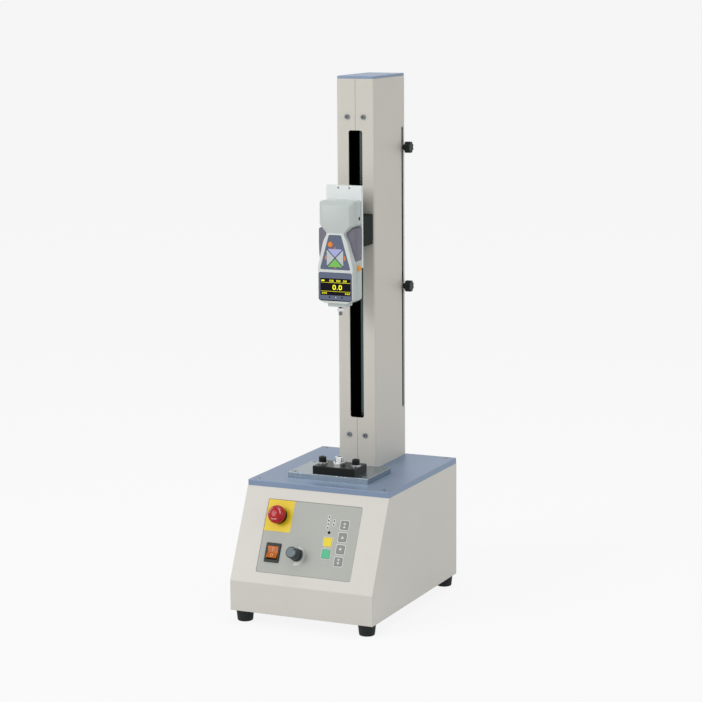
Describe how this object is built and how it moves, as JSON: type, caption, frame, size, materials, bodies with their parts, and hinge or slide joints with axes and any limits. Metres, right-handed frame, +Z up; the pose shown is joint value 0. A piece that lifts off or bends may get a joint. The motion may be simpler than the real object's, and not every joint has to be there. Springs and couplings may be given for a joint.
{
  "type": "motorized test stand",
  "caption": "Motorized vertical test stand: sloped control base, slotted column with a screw-driven carriage, digital force gauge over a work table.",
  "frame": {"origin": "on the floor under the feet, at the middle of the base housing's width and depth", "axes": "+X to the right seen from the front, +Y to the back, +Z up along the column"},
  "size_m": [0.24, 0.3443, 0.8302],
  "materials": {
    "housing_paint": "satin",
    "cover_paint": "satin",
    "plate_paint": "satin",
    "tray_steel": "zinc plated",
    "foot_rubber": "matt",
    "screw_steel": "satin",
    "panel_sheet": "matt",
    "board_green": "satin",
    "stop_black": "satin",
    "stop_red": "gloss",
    "stop_steel": "satin",
    "switch_black": "satin",
    "rocker_orange": "gloss, translucent",
    "knob_black": "satin",
    "key_grey": "matt",
    "key_yellow": "matt",
    "key_green": "matt",
    "motor_black": "satin",
    "machined_aluminium": "machined",
    "belt_rubber": "matt",
    "supply_metal": "satin",
    "connector_black": "satin",
    "guide_steel": "ground",
    "table_steel": "ground",
    "block_black": "black oxide",
    "post_chrome": "bright",
    "gauge_plate_metal": "satin",
    "gauge_case": "satin",
    "gauge_grip": "matt",
    "gauge_panel": "satin",
    "gauge_screen": "gloss",
    "gauge_key_lilac": "satin",
    "gauge_key_white": "satin",
    "gauge_key_green": "satin",
    "gauge_key_orange": "satin",
    "button_yellow": "gloss"
  },
  "bodies": {
    "stand": {"base_housing": "housing_paint", "bottom_cover": "tray_steel", "base_plate": "plate_paint", "plate_screws": "screw_steel", "feet": "foot_rubber", "control_panel": "panel_sheet", "e_stop_base": "stop_black", "power_switch_body": "switch_black", "panel_board": "board_green", "motor": "motor_black", "motor_bracket": "machined_aluminium", "timing_belt": "belt_rubber", "control_board": "board_green", "power_supply": "supply_metal", "rear_connectors": "connector_black", "column_frame": "machined_aluminium", "column_cover_left": "cover_paint", "column_cover_right": "cover_paint", "column_screws": "screw_steel", "column_cap": "plate_paint", "guide_rail": "guide_steel", "bearing_blocks": "machined_aluminium", "work_table": "table_steel", "fixture_block": "block_black", "fixture_screws": "block_black", "fixture_post": "post_chrome"},
    "carriage": {"carriage_block": "machined_aluminium", "ball_nut": "guide_steel", "rail_block": "guide_steel", "gauge_plate": "gauge_plate_metal", "gauge_front_case": "gauge_case", "gauge_rear_case": "gauge_case", "gauge_grips": "gauge_grip", "gauge_keypad_panel": "gauge_panel", "gauge_display": "gauge_screen", "gauge_load_cell": "machined_aluminium", "gauge_shaft": "screw_steel"},
    "lift_screw": {"ball_screw": "guide_steel", "screw_pulley": "machined_aluminium"},
    "motor_rotor": {"motor_pulley": "machined_aluminium"},
    "e_stop_stem": {"e_stop_stem": "stop_steel"},
    "e_stop_head": {"e_stop_head": "stop_red"},
    "power_rocker": {"power_rocker": "rocker_orange"},
    "speed_knob": {"speed_knob": "knob_black"},
    "key_fast_up": {"key_fast_up": "key_grey"},
    "key_up": {"key_up": "key_grey"},
    "key_down": {"key_down": "key_grey"},
    "key_fast_down": {"key_fast_down": "key_grey"},
    "key_yellow": {"key_yellow": "key_yellow"},
    "key_green": {"key_green": "key_green"},
    "gauge_key_power": {"gauge_key_power": "gauge_key_orange"},
    "gauge_key_top": {"gauge_key_top": "gauge_key_lilac"},
    "gauge_key_left": {"gauge_key_left": "gauge_key_white"},
    "gauge_key_right": {"gauge_key_right": "gauge_key_white"},
    "gauge_key_bottom": {"gauge_key_bottom": "gauge_key_green"},
    "gauge_side_button": {"gauge_side_button": "button_yellow"},
    "limit_slider_upper": {"limit_slider_upper": "screw_steel"},
    "limit_knob_upper": {"limit_knob_upper": "knob_black"},
    "limit_slider_lower": {"limit_slider_lower": "screw_steel"},
    "limit_knob_lower": {"limit_knob_lower": "knob_black"}
  },
  "joints": [
    {"name": "carriage_slide", "type": "slide", "parent": "stand", "child": "carriage", "axis": [0, 0, 1], "range_m": [-0.233, 0.105]},
    {"name": "screw_spin", "type": "hinge", "parent": "stand", "child": "lift_screw", "pos_m": [0, 0.07, 0.5], "axis": [0, 0, 1], "continuous": true},
    {"name": "motor_spin", "type": "hinge", "parent": "stand", "child": "motor_rotor", "pos_m": [0, -0.008, 0.17], "axis": [0, 0, 1], "continuous": true},
    {"name": "e_stop_stem_press", "type": "slide", "parent": "stand", "child": "e_stop_stem", "axis": [0, 0.9035, -0.4287], "range_m": [0, 0.004], "stiffness_N_per_m": 2500},
    {"name": "e_stop_twist", "type": "hinge", "parent": "e_stop_stem", "child": "e_stop_head", "pos_m": [-0.0568, -0.12175, 0.16298], "axis": [0, 0.9035, -0.4287], "range_deg": [0, 45], "stiffness_Nm_per_rad": 0.1},
    {"name": "power_rocker_tilt", "type": "hinge", "parent": "stand", "child": "power_rocker", "pos_m": [-0.0568, -0.14358, 0.10904], "axis": [1, 0, 0], "range_deg": [0, 14]},
    {"name": "speed_knob_turn", "type": "hinge", "parent": "stand", "child": "speed_knob", "pos_m": [-0.0154, -0.14665, 0.11049], "axis": [0, -0.9035, 0.4287], "range_deg": [-95, 185]},
    {"name": "key_fast_up_press", "type": "slide", "parent": "stand", "child": "key_fast_up", "axis": [0, 0.9035, -0.4287], "range_m": [0, 0.0005], "stiffness_N_per_m": 4000},
    {"name": "key_up_press", "type": "slide", "parent": "stand", "child": "key_up", "axis": [0, 0.9035, -0.4287], "range_m": [0, 0.0005], "stiffness_N_per_m": 4000},
    {"name": "key_down_press", "type": "slide", "parent": "stand", "child": "key_down", "axis": [0, 0.9035, -0.4287], "range_m": [0, 0.0005], "stiffness_N_per_m": 4000},
    {"name": "key_fast_down_press", "type": "slide", "parent": "stand", "child": "key_fast_down", "axis": [0, 0.9035, -0.4287], "range_m": [0, 0.0005], "stiffness_N_per_m": 4000},
    {"name": "key_yellow_press", "type": "slide", "parent": "stand", "child": "key_yellow", "axis": [0, 0.9035, -0.4287], "range_m": [0, 0.0005], "stiffness_N_per_m": 4000},
    {"name": "key_green_press", "type": "slide", "parent": "stand", "child": "key_green", "axis": [0, 0.9035, -0.4287], "range_m": [0, 0.0005], "stiffness_N_per_m": 4000},
    {"name": "gauge_key_power_press", "type": "slide", "parent": "carriage", "child": "gauge_key_power", "axis": [0, 1, 0], "range_m": [0, 0.0004], "stiffness_N_per_m": 3000},
    {"name": "gauge_key_top_press", "type": "slide", "parent": "carriage", "child": "gauge_key_top", "axis": [0, 1, 0], "range_m": [0, 0.0004], "stiffness_N_per_m": 3000},
    {"name": "gauge_key_left_press", "type": "slide", "parent": "carriage", "child": "gauge_key_left", "axis": [0, 1, 0], "range_m": [0, 0.0004], "stiffness_N_per_m": 3000},
    {"name": "gauge_key_right_press", "type": "slide", "parent": "carriage", "child": "gauge_key_right", "axis": [0, 1, 0], "range_m": [0, 0.0004], "stiffness_N_per_m": 3000},
    {"name": "gauge_key_bottom_press", "type": "slide", "parent": "carriage", "child": "gauge_key_bottom", "axis": [0, 1, 0], "range_m": [0, 0.0004], "stiffness_N_per_m": 3000},
    {"name": "gauge_side_button_press", "type": "slide", "parent": "carriage", "child": "gauge_side_button", "axis": [-1, 0, 0], "range_m": [0, 0.0015], "stiffness_N_per_m": 1500},
    {"name": "limit_upper_slide", "type": "slide", "parent": "stand", "child": "limit_slider_upper", "axis": [0, 0, 1], "range_m": [-0.099, 0.028]},
    {"name": "limit_upper_clamp", "type": "hinge", "parent": "limit_slider_upper", "child": "limit_knob_upper", "pos_m": [0.0425, 0.155, 0.713], "axis": [1, 0, 0], "range_deg": [0, 180]},
    {"name": "limit_lower_slide", "type": "slide", "parent": "stand", "child": "limit_slider_lower", "axis": [0, 0, 1], "range_m": [-0.194, 0.1]},
    {"name": "limit_lower_clamp", "type": "hinge", "parent": "limit_slider_lower", "child": "limit_knob_lower", "pos_m": [0.0425, 0.155, 0.49], "axis": [1, 0, 0], "range_deg": [0, 180]}
  ],
  "couplings": [
    {"joint": "screw_spin", "follows": "carriage_slide", "rad_per_m": -1256.6},
    {"joint": "motor_spin", "follows": "carriage_slide", "rad_per_m": -1256.6}
  ]
}
